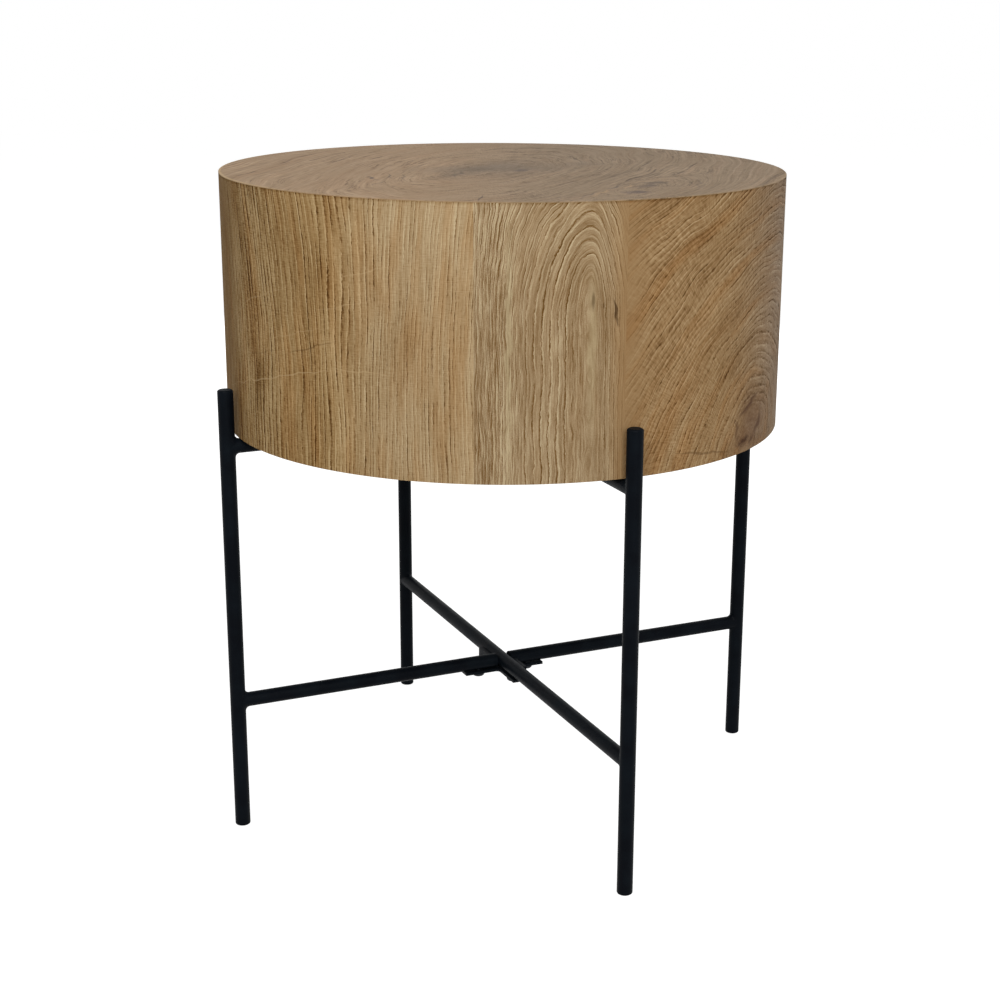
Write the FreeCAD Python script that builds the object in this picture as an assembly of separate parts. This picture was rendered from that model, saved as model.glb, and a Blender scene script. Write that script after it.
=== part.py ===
import FreeCAD, Part

import math
import os

from FreeCAD import Vector

# Round side table: a veneered drum carried by a crossed frame of round steel bar.
# Millimetres. The origin is on the floor under the middle of the drum, +Z is up.
# The long bars run along Y, the half bars along X, and a leg stands at each of the four ends.

# Drum
drum_diameter = 400.0
drum_height = 178.0
drum_underside = 292.0      # above the floor
veneer_thickness = 0.6
board_thickness = 16.0      # top board and bottom board
hoop_thickness = 8.0        # bent plywood wall
former_thickness = 16.0     # ring half way up that keeps the wall round
former_width = 40.0
batten_width = 30.0         # upright between a board and the ring
batten_depth = 18.0
batten_count = 6
glue_gap = 0.3              # at each curved glue line of the wall
arris = 0.3                 # sanded edge of the top veneer

# Upright joints between the leaves of side veneer, seen from above, from the +X axis
leaf_joint_angles = (-119.0, -91.0, 5.0, 88.0, 170.0)

# Steel frame
bar_diameter = 10.4
leg_extra = 0.6             # the legs are this much thicker than the bars
leg_gap = 3.0               # between a leg and the drum
leg_rise = 35.0             # of a leg above the drum's underside
leg_top_round = 1.6
foot_round = 1.2
stretcher_height = 97.0     # middle of the lower bars above the floor
weld_leg = 3.2
seat_gap = 0.3              # under a round bar, and beside it

# Bolted joint where the bars cross
plate_reach = 32.0          # of each arm of the cross plate from the middle
plate_width = 10.0
plate_thickness = 2.0
plate_corner_round = 3.0
key_thickness = 3.0         # strip that keeps a half bar square to the long bar
key_height = 7.2
key_reach = 26.0            # from the middle
key_weld = 3.0              # leg of the bead between a key and its half bar

# Button head bolts, M5
bolt_diameter = 5.0
bolt_head_diameter = 9.5
bolt_head_height = 2.75
bolt_head_rim = 0.5         # upright edge under the dome
bolt_head_bulge = 0.45
bolt_face_diameter = 5.4    # flat face round the socket
bolt_socket = 3.0           # across flats
bolt_socket_depth = 1.6
hole_clearance = 0.25       # around a bolt
joint_bolt_place = 20.0     # from the middle, on every arm
joint_bolt_length = 10.0
tip_room = 0.4              # beyond the end of a bolt in a blind hole
drum_bolt_place = 110.0
drum_bolt_length = 25.0
washer_diameter = 11.0
washer_thickness = 1.2      # under the middle of the bar
washer_wing = 1.3           # how far its edges reach up beside the bar
insert_diameter = 8.0
insert_length = 12.0

overrun = 1.0               # of a cutting shape beyond what it cuts

# Sizes worked out from those above
up = Vector(0, 0, 1)
drum_radius = drum_diameter / 2
drum_top = drum_underside + drum_height
core_radius = drum_radius - veneer_thickness - glue_gap
core_bottom = drum_underside + veneer_thickness
core_top = drum_top - veneer_thickness
hoop_bottom = core_bottom + board_thickness
hoop_top = core_top - board_thickness
hoop_inner_radius = core_radius - hoop_thickness
former_radius = hoop_inner_radius - glue_gap
former_bottom = (hoop_bottom + hoop_top - former_thickness) / 2
former_top = former_bottom + former_thickness

bar_radius = bar_diameter / 2
leg_diameter = bar_diameter + leg_extra
leg_radius = leg_diameter / 2
leg_place = drum_radius + leg_gap + leg_radius
leg_height = drum_underside + leg_rise
upper_height = drum_underside - seat_gap - bar_radius
key_inner = bar_radius + seat_gap
plate_drop = bar_radius + seat_gap      # from a bar's middle down to the cross plate

bolt_radius = bolt_diameter / 2
bolt_hole_radius = bolt_radius + hole_clearance
washer_seat = bar_radius + seat_gap + washer_thickness
drum_bolt_seat = upper_height - washer_seat
drum_bolt_tip = drum_bolt_seat + drum_bolt_length
insert_radius = insert_diameter / 2

# The four legs: name, direction from the middle
legs = {
    "front": Vector(0, -1, 0),
    "right": Vector(1, 0, 0),
    "back": Vector(0, 1, 0),
    "left": Vector(-1, 0, 0),
}


def disc(radius, bottom, top):
    return Part.makeCylinder(radius, top - bottom, Vector(0, 0, bottom), up)


def ring(outer, inner, bottom, top):
    bore = disc(inner, bottom - overrun, top + overrun)
    return disc(outer, bottom, top).cut(bore)


def pin(place, bottom, top, radius):
    foot = Vector(place.x, place.y, bottom)
    return Part.makeCylinder(radius, top - bottom, foot, up)


def turned_about_z(shape, angle):
    turned = shape.copy()
    turned.rotate(Vector(0, 0, 0), up, angle)
    return turned


# Drum

def top_veneer():
    sheet = disc(drum_radius, core_top, drum_top)
    rim = [edge for edge in sheet.Edges if edge.BoundBox.ZMin > core_top]
    return sheet.makeChamfer(arris, rim)


def drum_bolt_holes(radius, bottom, top):
    holes = [pin(way * drum_bolt_place, bottom, top, radius) for way in legs.values()]
    return Part.makeCompound(holes)


def bottom_veneer():
    holes = drum_bolt_holes(insert_radius, drum_underside - overrun, core_bottom + overrun)
    return disc(core_radius, drum_underside, core_bottom).cut(holes)


def bottom_board():
    pocket_top = max(core_bottom + insert_length, drum_bolt_tip) + tip_room
    pockets = drum_bolt_holes(insert_radius, core_bottom - overrun, pocket_top)
    return disc(core_radius, core_bottom, hoop_bottom).cut(pockets)


def side_leaf(start, end):
    turn = (end - start) % 360
    foot = Vector(0, 0, drum_underside)
    leaf = Part.makeCylinder(drum_radius, core_top - drum_underside, foot, up, turn)
    leaf = leaf.cut(disc(core_radius + glue_gap, drum_underside - overrun, core_top + overrun))
    return turned_about_z(leaf, start)


def batten(angle, bottom, top):
    outer = math.sqrt(former_radius ** 2 - (batten_width / 2) ** 2)
    corner = Vector(outer - batten_depth, -batten_width / 2, bottom)
    upright = Part.makeBox(batten_depth, batten_width, top - bottom, corner)
    return turned_about_z(upright, angle)


def insert(way):
    place = way * drum_bolt_place
    top = core_bottom + insert_length
    body = pin(place, core_bottom, top, insert_radius)
    return body.cut(pin(place, core_bottom - overrun, top + overrun, bolt_hole_radius))


# Steel frame

def leg(way):
    upright = pin(way * leg_place, 0, leg_height, leg_radius)
    top_edge = [edge for edge in upright.Edges if edge.BoundBox.ZMin > stretcher_height]
    upright = upright.makeFillet(leg_top_round, top_edge)
    foot_edge = [edge for edge in upright.Edges if edge.BoundBox.ZMax < stretcher_height]
    return upright.makeFillet(foot_round, foot_edge)


def bar_between(start, end, height):
    foot = Vector(start.x, start.y, height)
    run = end - start
    bar = Part.makeCylinder(bar_radius, run.Length, foot, run)
    for way in legs.values():
        bar = bar.cut(pin(way * leg_place, 0, leg_height, leg_radius))
    return bar


def joint_bolt_holes(height):
    bottom = height - bar_radius - overrun
    top = height - plate_drop - plate_thickness + joint_bolt_length + tip_room
    holes = [pin(way * joint_bolt_place, bottom, top, bolt_hole_radius) for way in legs.values()]
    return Part.makeCompound(holes)


def long_bar(height):
    bar = bar_between(legs["front"] * leg_place, legs["back"] * leg_place, height)
    return bar.cut(joint_bolt_holes(height))


def half_bar(side, height):
    way = legs[side]
    bar = bar_between(way * key_inner, way * leg_place, height)
    return bar.cut(joint_bolt_holes(height))


def key(side, height):
    # Drawn beside the right half bar, then turned half round for the left one
    bottom = height - plate_drop
    length = key_reach - bar_radius / 2
    strip = Part.makeBox(key_thickness, length, key_height, Vector(key_inner, -key_reach, bottom))
    strip = strip.cut(bar_between(Vector(0, 0, 0), legs["right"] * leg_place, height))
    return strip if side == "right" else turned_about_z(strip, 180)


def key_bead(side, height):
    # Fills the corner between the outer face of a key and the flank of its half bar
    bottom = height - plate_drop
    near = key_inner + key_thickness
    flank = -bar_radius
    corners = [Vector(near, flank - key_weld, bottom), Vector(near, flank / 2, bottom),
               Vector(near + key_weld, flank / 2, bottom), Vector(near + key_weld, flank, bottom)]
    outline = Part.Face(Part.makePolygon(corners + corners[:1]))
    bar = bar_between(Vector(0, 0, 0), legs["right"] * leg_place, height)
    bead = outline.extrude(up * key_height).cut(bar)
    return bead if side == "right" else turned_about_z(bead, 180)


def cross_plate(height):
    top = height - plate_drop
    bottom = top - plate_thickness
    long_arm = Part.makeBox(
        plate_width, plate_reach * 2, plate_thickness, Vector(-plate_width / 2, -plate_reach, bottom))
    plate = long_arm.fuse(turned_about_z(long_arm, 90)).removeSplitter()
    inner = [edge for edge in plate.Edges
             if edge.BoundBox.ZLength > plate_thickness / 2
             and abs(edge.CenterOfMass.x) < plate_width
             and abs(edge.CenterOfMass.y) < plate_width]
    plate = plate.makeFillet(plate_corner_round, inner)
    holes = [pin(way * joint_bolt_place, bottom - overrun, top + overrun, bolt_hole_radius)
             for way in legs.values()]
    return plate.cut(Part.makeCompound(holes))


def weld_bead(height):
    # At the right leg: what a rounded inner corner adds to the leg and the bar joined as one
    way = legs["right"]
    upright = pin(way * leg_place, height - leg_rise, height + leg_rise, leg_radius)
    bar = Part.makeCylinder(bar_radius, leg_rise, Vector(leg_place - leg_rise, 0, height), way)
    bar = bar.cut(upright)
    joined = upright.fuse(bar)
    seam = [edge for edge in joined.Edges
            if not isinstance(edge.Curve, Part.Line)
            and abs(edge.CenterOfMass.z - height) < bar_radius
            and edge.CenterOfMass.x > leg_place - leg_diameter]
    return joined.makeFillet(weld_leg, seam).cut(upright).cut(bar)


def leg_welds(height):
    bead = weld_bead(height)
    return [turned_about_z(bead, turn) for turn in (-90, 0, 90, 180)]


def hex_prism(place, across, bottom, top):
    middle = Vector(place.x, place.y, bottom)
    reach = across / math.sqrt(3)
    corners = [middle + Vector(reach * math.cos(turn), reach * math.sin(turn), 0)
               for turn in (math.radians(60 * corner) for corner in range(7))]
    return Part.Face(Part.makePolygon(corners)).extrude(up * (top - bottom))


def button_bolt(place, seat, length):
    # The shank points up from the seat, the domed head hangs below it
    head_radius = bolt_head_diameter / 2
    face_radius = bolt_face_diameter / 2
    face = seat - bolt_head_height
    rim = seat - bolt_head_rim
    shoulder = Vector((head_radius + face_radius) / 2 + bolt_head_bulge, 0,
                      (face + rim) / 2 - bolt_head_bulge)
    tip = seat + length
    edges = [
        Part.LineSegment(Vector(0, 0, tip), Vector(bolt_radius, 0, tip)).toShape(),
        Part.LineSegment(Vector(bolt_radius, 0, tip), Vector(bolt_radius, 0, seat)).toShape(),
        Part.LineSegment(Vector(bolt_radius, 0, seat), Vector(head_radius, 0, seat)).toShape(),
        Part.LineSegment(Vector(head_radius, 0, seat), Vector(head_radius, 0, rim)).toShape(),
        Part.Arc(Vector(head_radius, 0, rim), shoulder, Vector(face_radius, 0, face)).toShape(),
        Part.LineSegment(Vector(face_radius, 0, face), Vector(0, 0, face)).toShape(),
        Part.LineSegment(Vector(0, 0, face), Vector(0, 0, tip)).toShape(),
    ]
    body = Part.Face(Part.Wire(edges)).revolve(Vector(0, 0, 0), up, 360)
    body.translate(Vector(place.x, place.y, 0))
    return body.cut(hex_prism(place, bolt_socket, face - overrun, face + bolt_socket_depth))


def saddle_washer(way):
    place = way * drum_bolt_place
    block = pin(place, drum_bolt_seat, drum_bolt_seat + washer_thickness + washer_wing, washer_diameter / 2)
    groove_start = Vector(0, 0, upper_height) + way * (drum_bolt_place - washer_diameter)
    groove = Part.makeCylinder(bar_radius + seat_gap, washer_diameter * 2, groove_start, way)
    bore = pin(place, drum_bolt_seat - overrun, upper_height, bolt_hole_radius)
    return block.cut(groove).cut(bore)


def joint_bolts(height):
    seat = height - plate_drop - plate_thickness
    return [button_bolt(way * joint_bolt_place, seat, joint_bolt_length) for way in legs.values()]


def save(name, shapes):
    solids = shapes if isinstance(shapes, list) else [shapes]
    solids = [piece.Solids[0] if len(piece.Solids) == 1 else piece for piece in solids]
    for piece in solids:
        if not piece.isValid() or len(piece.Solids) != 1:
            raise ValueError(name + " isn't one sound solid")
    whole = solids[0] if len(solids) == 1 else Part.makeCompound(solids)
    whole.exportStep("parts/" + name + ".step")
    print(name, len(solids), round(whole.Volume))


os.makedirs("parts", exist_ok=True)

save("top_veneer", top_veneer())
save("top_board", disc(core_radius, hoop_top, core_top))
save("side_hoop", ring(core_radius, hoop_inner_radius, hoop_bottom, hoop_top))
save("bottom_board", bottom_board())
save("bottom_veneer", bottom_veneer())
save("former_ring", ring(former_radius, former_radius - former_width, former_bottom, former_top))

for number, start in enumerate(leaf_joint_angles):
    end = leaf_joint_angles[(number + 1) % len(leaf_joint_angles)]
    save("side_veneer_leaf_" + str(number + 1), side_leaf(start, end))

for number in range(batten_count):
    angle = (number + 0.5) * 360 / batten_count
    save("upper_batten_" + str(number + 1), batten(angle, former_top, hoop_top))
    save("lower_batten_" + str(number + 1), batten(angle, hoop_bottom, former_bottom))

save("drum_threaded_inserts", [insert(way) for way in legs.values()])

for side, way in legs.items():
    save("leg_" + side, leg(way))

for level, height in (("lower", stretcher_height), ("upper", upper_height)):
    bars = {"long_bar": long_bar(height)}
    for side in ("left", "right"):
        bars["half_bar_" + side] = half_bar(side, height)
        save(level + "_joint_key_" + side, key(side, height))
    for name, bar in bars.items():
        if level == "upper":
            bar = bar.cut(drum_bolt_holes(bolt_hole_radius, height - bar_diameter, height + bar_diameter))
        save(level + "_" + name, bar)
    save(level + "_cross_plate", cross_plate(height))
    save(level + "_joint_bolts", joint_bolts(height))
    save(level + "_leg_welds", leg_welds(height))
    save(level + "_key_welds", [key_bead(side, height) for side in ("left", "right")])

save("drum_saddle_washers", [saddle_washer(way) for way in legs.values()])
save("drum_bolts", [button_bolt(way * drum_bolt_place, drum_bolt_seat, drum_bolt_length)
                    for way in legs.values()])
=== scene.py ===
import math

import bmesh
import bpy
from mathutils import Matrix, Vector


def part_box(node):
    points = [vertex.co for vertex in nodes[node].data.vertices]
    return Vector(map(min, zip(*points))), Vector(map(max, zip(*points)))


# Round side table: an oak-veneered drum on a crossed frame of black powder-coated bar.
# Everything is in metres in the part's own frame. The wood's patterns are drawn in millimetres.

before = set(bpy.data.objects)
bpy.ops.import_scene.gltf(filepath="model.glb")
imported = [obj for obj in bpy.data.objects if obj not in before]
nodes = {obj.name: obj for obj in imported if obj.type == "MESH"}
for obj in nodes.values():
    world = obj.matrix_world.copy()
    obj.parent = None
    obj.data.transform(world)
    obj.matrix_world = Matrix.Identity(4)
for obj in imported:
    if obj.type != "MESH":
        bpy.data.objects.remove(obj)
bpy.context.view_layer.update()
print("frame loaded,", len(nodes), "nodes")

scene = bpy.context.scene
scene.view_settings.view_transform = "Standard"

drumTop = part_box("top_veneer")[1].z * 1000
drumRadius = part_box("top_veneer")[1].x * 1000


def linear(code):  # sRGB hex to the linear colour that the sockets take
    parts = [int(code[start:start + 2], 16) / 255 for start in (0, 2, 4)]
    return [part / 12.92 if part <= 0.04045 else ((part + 0.055) / 1.055) ** 2.4 for part in parts] + [1]


def addNode(tree, kind, inputs=None, output=0, stops=(), **settings):
    # One node with its settings, its values and links by socket, and the stops of its ramp
    node = tree.nodes.new(kind)
    for name, value in settings.items():
        setattr(node, name, value)
    for name, value in (inputs or {}).items():
        if isinstance(value, bpy.types.NodeSocket):
            tree.links.new(value, node.inputs[name])
        else:
            node.inputs[name].default_value = value
    for number, (place, code) in enumerate(stops):
        if number > 1:
            node.color_ramp.elements.new(place)
        node.color_ramp.elements[number].position = place
        node.color_ramp.elements[number].color = linear(code)
    return node.outputs[output] if node.outputs else None


def newGroup(name, inputs, outputs):
    tree = bpy.data.node_groups.new(name, "ShaderNodeTree")
    for label, value in inputs.items():
        kind = "NodeSocketVector" if isinstance(value, tuple) else "NodeSocketFloat"
        tree.interface.new_socket(name=label, in_out="INPUT", socket_type=kind).default_value = value
    for label, kind in outputs.items():
        tree.interface.new_socket(name=label, in_out="OUTPUT", socket_type="NodeSocket" + kind)
    return tree, addNode(tree, "NodeGroupInput").node.outputs


def newMaterial(name):
    material = bpy.data.materials.new(name)
    material.use_nodes = True
    material.node_tree.nodes.clear()
    return material, material.node_tree


def addSurface(tree, relief, strength, depth, inputs):
    # The shader, its relief and the material's output
    bump = addNode(tree, "ShaderNodeBump", {"Height": relief, "Strength": strength, "Distance": depth})
    shader = addNode(tree, "ShaderNodeBsdfPrincipled", {**inputs, "Normal": bump})
    addNode(tree, "ShaderNodeOutputMaterial", {"Surface": shader})


# Camera, where the photograph was taken from
view = {"place": (-0.5248, -1.1923, 0.60226), "heading": 24.987, "downward": 16.291, "roll": 0.47,
        "lens": 65.131, "sensor": 36, "shift": (-0.0399, 0.0034)}

cameraData = bpy.data.cameras.new("camera")
cameraData.sensor_width = view["sensor"]
cameraData.lens = view["lens"]
cameraData.shift_x, cameraData.shift_y = view["shift"]
camera = bpy.data.objects.new("camera", cameraData)
camera.matrix_world = (Matrix.Translation(view["place"])
                       @ Matrix.Rotation(-math.radians(view["heading"]), 4, "Z")
                       @ Matrix.Rotation(math.radians(90 - view["downward"]), 4, "X")
                       @ Matrix.Rotation(math.radians(view["roll"]), 4, "Z"))
scene.collection.objects.link(camera)
scene.camera = camera
print("camera placed")


# Oak figure. A veneer shows growth rings, the pores of each ring's early wood, and rays.
grain = {
    # Counts of noise per millimetre across the leaf and up it, before the rings are drawn
    "wave": (0.02, 0.012, 1), "archWave": (0.035, 0.026, 1), "heartWave": 0.014, "stainWave": 0.06,
    # The same, two along the grain and one across it; a single count goes all ways
    "uneven": (0.006, 0.006, 0.07), "ticks": (1.5, 1.5, 0.22), "ground": (0.01, 0.01, 0.045),
    "blush": (0.014, 0.014, 0.12), "blushFrom": (3.7, 1.9, 5.1), "jag": 0.4, "rayGroups": 0.035,
    # Where a ring's dark and pale wood begin and end, as shares of its width
    "earlyOnset": {"From Max": 0.1}, "late": {"From Min": 0.7, "From Max": 0.95},
    "groundTone": 0.6, "poresInLateWood": 0.15, "blushColour": "f5dab6", "usualBlush": 0.45,
    "fadeWidth": 2.9,  # millimetres across the grain
    "stainEdge": 1.6}  # counts of noise to a stain's half width
# The part of each noise that shows
window = {"fading": {"From Min": 0.36, "From Max": 0.6}, "plain": {"From Min": -3.0, "From Max": 3.0},
          "pores": {"From Min": 0.5, "From Max": 0.64}, "rays": {"From Min": 0.56, "From Max": 0.7},
          "rayGroups": {"From Min": 0.42, "From Max": 0.6}, "blush": {"From Min": 0.45, "From Max": 0.68},
          "patches": {"From Min": 0.35, "From Max": 0.65}}


def addSwing(tree, noise, amount, base):
    # Noise moves the base to either side, by half the amount at most
    centred = addNode(tree, "ShaderNodeMath", {0: noise, 1: 0.5}, operation="SUBTRACT")
    return addNode(tree, "ShaderNodeMath", {0: centred, 1: amount, 2: base}, operation="MULTIPLY_ADD")


def addThreads(tree, place, length, width, detail, roughness=0.5):
    # Noise drawn out into threads of a length and a width in millimetres
    size = addNode(tree, "ShaderNodeCombineXYZ", {"X": length, "Y": length, "Z": width})
    drawn = addNode(tree, "ShaderNodeVectorMath", {0: place, 1: size}, operation="DIVIDE")
    return addNode(tree, "ShaderNodeTexNoise",
                   {"Vector": drawn, "Scale": 1.0, "Detail": detail, "Roughness": roughness})


def addCloud(tree, place, counts, detail, roughness=0.5):
    # Noise with a count of its own along each axis
    drawn = addNode(tree, "ShaderNodeVectorMath", {0: place, 1: counts}, operation="MULTIPLY")
    return addNode(tree, "ShaderNodeTexNoise",
                   {"Vector": drawn, "Scale": 1.0, "Detail": detail, "Roughness": roughness})


def addPlaceAbout(tree, given, middle):
    # A place in the leaf's plane, from a middle and turned by the lean
    across = addNode(tree, "ShaderNodeMath", {0: given["Across"], 1: given[middle + " Across"]},
                     operation="SUBTRACT")
    rise = addNode(tree, "ShaderNodeMath", {0: given["Up"], 1: given[middle + " Up"]}, operation="SUBTRACT")
    place = addNode(tree, "ShaderNodeCombineXYZ", {"X": across, "Y": rise})
    return addNode(tree, "ShaderNodeVectorRotate", {"Vector": place, "Angle": given["Lean"]},
                   rotation_type="Z_AXIS")


def addDrift(tree, place, count, amount, ways):
    # Slow noise moves a place to and fro in its plane
    slow = addNode(tree, "ShaderNodeTexNoise", {"Vector": place, "Scale": count, "Detail": 2.0},
                   output="Color")
    drift = addNode(tree, "ShaderNodeVectorMath", {0: slow, 1: (0.5, 0.5, 0.5)}, operation="SUBTRACT")
    drift = addNode(tree, "ShaderNodeVectorMath", {0: drift, "Scale": amount}, operation="SCALE")
    return addNode(tree, "ShaderNodeVectorMath", {0: drift, 1: ways, 2: place}, operation="MULTIPLY_ADD")


def makeDrumMap():
    # Unrolls the drum: millimetres round the girth from where Turn says, and above the floor
    tree, given = newGroup("drumMap", {"Turn": 0.0}, {"Girth": "Float", "Height": "Float"})
    place = addNode(tree, "ShaderNodeTexCoord", output="Object")
    turned = addNode(tree, "ShaderNodeVectorRotate", {"Vector": place, "Angle": given["Turn"]},
                     rotation_type="Z_AXIS")
    parts = addNode(tree, "ShaderNodeSeparateXYZ", {0: turned}).node.outputs
    angle = addNode(tree, "ShaderNodeMath", {0: parts["Y"], 1: parts["X"]}, operation="ARCTAN2")
    girth = addNode(tree, "ShaderNodeMath", {0: angle, 1: drumRadius}, operation="MULTIPLY")
    height = addNode(tree, "ShaderNodeMath", {0: parts["Z"], 1: 1000.0}, operation="MULTIPLY")
    addNode(tree, "NodeGroupOutput", {"Girth": girth, "Height": height})
    return tree


def makeHeartMap():
    # Rings round a heart: how far a point is from it, and which way, as a place Reach away from it
    tree, given = newGroup(
        "heartMap",
        {"Across": 0.0, "Up": 0.0, "Heart Across": 0.0, "Heart Up": 0.0, "Lean": 0.0, "Tall": 1.0,
         "Reach": 60.0, "Wander": 4.0},
        {"Ring": "Float", "Along": "Vector"})
    place = addPlaceAbout(tree, given, "Heart")
    shape = addNode(tree, "ShaderNodeCombineXYZ", {"X": 1.0, "Y": given["Tall"], "Z": 1.0})
    place = addNode(tree, "ShaderNodeVectorMath", {0: place, 1: shape}, operation="DIVIDE")
    place = addDrift(tree, place, grain["heartWave"], given["Wander"], (3, 3, 0))
    ring = addNode(tree, "ShaderNodeVectorMath", {0: place}, output="Value", operation="LENGTH")
    way = addNode(tree, "ShaderNodeVectorMath", {0: place}, operation="NORMALIZE")
    along = addNode(tree, "ShaderNodeVectorMath", {0: way, "Scale": given["Reach"]}, operation="SCALE")
    addNode(tree, "NodeGroupOutput", {"Ring": ring, "Along": along})
    return tree


arches = {"upright": {"From Min": 20.0, "To Min": 1.0, "To Max": 0.1}, "footSoft": 25.0}


def makeCathedralMap():
    # Arches on an axis: parabolas that turn upright below Foot, and further from the axis than Leaning To.
    # An arch's ring is its flank's distance.
    tree, given = newGroup(
        "cathedralMap",
        {"Girth": 0.0, "Height": 0.0, "Axis": 0.0, "Spring": 418.0, "Foot": -10.0, "Steep": 1.23,
         "Open": 2.0, "Right": 1.6, "Leaning To": 70.0, "Wander": 2.0},
        {"Ring": "Float", "Along": "Vector"})
    place = addNode(tree, "ShaderNodeCombineXYZ", {"X": given["Girth"], "Y": given["Height"]})
    slow = addCloud(tree, place, grain["archWave"], 3.0, 0.6)
    drift = addNode(tree, "ShaderNodeMath", {0: slow, 1: 0.5}, operation="SUBTRACT")
    drift = addNode(tree, "ShaderNodeMath", {0: drift, 1: given["Wander"]}, operation="MULTIPLY")
    offset = addNode(tree, "ShaderNodeMath", {0: given["Girth"], 1: given["Axis"]}, operation="SUBTRACT")
    onRight = addNode(tree, "ShaderNodeMath", {0: offset, 1: 0.0}, operation="GREATER_THAN")
    widening = addNode(tree, "ShaderNodeMapRange",
                       {"Value": onRight, "To Min": 1.0, "To Max": given["Right"]})
    offset = addNode(tree, "ShaderNodeMath", {0: offset, 1: widening}, operation="MULTIPLY")
    away = addNode(tree, "ShaderNodeMath", {0: offset}, operation="ABSOLUTE")
    upright = addNode(tree, "ShaderNodeMapRange",
                      {"Value": away, "From Max": given["Leaning To"], **arches["upright"]})
    above = addNode(tree, "ShaderNodeMath", {0: given["Height"], 1: given["Spring"]}, operation="SUBTRACT")
    above = addNode(tree, "ShaderNodeMath", {0: above, 1: given["Foot"], 2: arches["footSoft"]},
                    operation="SMOOTH_MAX")
    above = addNode(tree, "ShaderNodeMath", {0: above, 1: upright}, operation="MULTIPLY")
    # ring = (above + sqrt(above^2 + 4 Steep Open offset^2)) / (2 Steep)
    reach = addNode(tree, "ShaderNodeMath", {0: given["Steep"], 1: given["Open"]}, operation="MULTIPLY")
    reach = addNode(tree, "ShaderNodeMath", {0: reach, 1: 0.5}, operation="POWER")
    reach = addNode(tree, "ShaderNodeMath", {0: reach, 1: 2.0}, operation="MULTIPLY")
    reach = addNode(tree, "ShaderNodeMath", {0: reach, 1: offset}, operation="MULTIPLY")
    arch = addNode(tree, "ShaderNodeCombineXYZ", {"X": reach, "Y": above})
    arch = addNode(tree, "ShaderNodeVectorMath", {0: arch}, output="Value", operation="LENGTH")
    arch = addNode(tree, "ShaderNodeMath", {0: arch, 1: above}, operation="ADD")
    arch = addNode(tree, "ShaderNodeMath", {0: arch, 1: given["Steep"]}, operation="DIVIDE")
    ring = addNode(tree, "ShaderNodeMath", {0: arch, 1: 0.5, 2: drift}, operation="MULTIPLY_ADD")
    along = addNode(tree, "ShaderNodeCombineXYZ", {"X": given["Girth"], "Y": given["Height"]})
    addNode(tree, "NodeGroupOutput", {"Ring": ring, "Along": along})
    return tree


bends = {"soft": 20.0, "leftShare": 0.5}


def makeBentMap():
    # Upright rings that lean one way on the left and, less, the other way on the right
    tree, given = newGroup(
        "bentMap",
        {"Girth": 0.0, "Height": 0.0, "Level": 335.0, "Bend": 630.0, "Turn From": -50.0, "Turn To": 0.0,
         "Right Share": -0.35, "Wander": 2.0},
        {"Ring": "Float", "Along": "Vector"})
    place = addNode(tree, "ShaderNodeCombineXYZ", {"X": given["Girth"], "Y": given["Height"]})
    slow = addCloud(tree, place, grain["wave"], 2.5)
    ring = addSwing(tree, slow, given["Wander"], given["Girth"])
    above = addNode(tree, "ShaderNodeMath", {0: given["Height"], 1: given["Level"]}, operation="SUBTRACT")
    above = addNode(tree, "ShaderNodeMath", {0: above, 1: 0.0, 2: bends["soft"]},
                    operation="SMOOTH_MAX")
    bend = addNode(tree, "ShaderNodeMath", {0: above, 1: above}, operation="MULTIPLY")
    bend = addNode(tree, "ShaderNodeMath", {0: bend, 1: given["Bend"]}, operation="DIVIDE")
    share = addNode(tree, "ShaderNodeMapRange",
                    {"Value": given["Girth"], "From Min": given["Turn From"], "From Max": given["Turn To"],
                     "To Min": bends["leftShare"], "To Max": given["Right Share"]},
                    interpolation_type="SMOOTHSTEP")
    ring = addNode(tree, "ShaderNodeMath", {0: bend, 1: share, 2: ring}, operation="MULTIPLY_ADD")
    along = addNode(tree, "ShaderNodeCombineXYZ", {"Y": given["Height"]})
    addNode(tree, "NodeGroupOutput", {"Ring": ring, "Along": along})
    return tree


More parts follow.
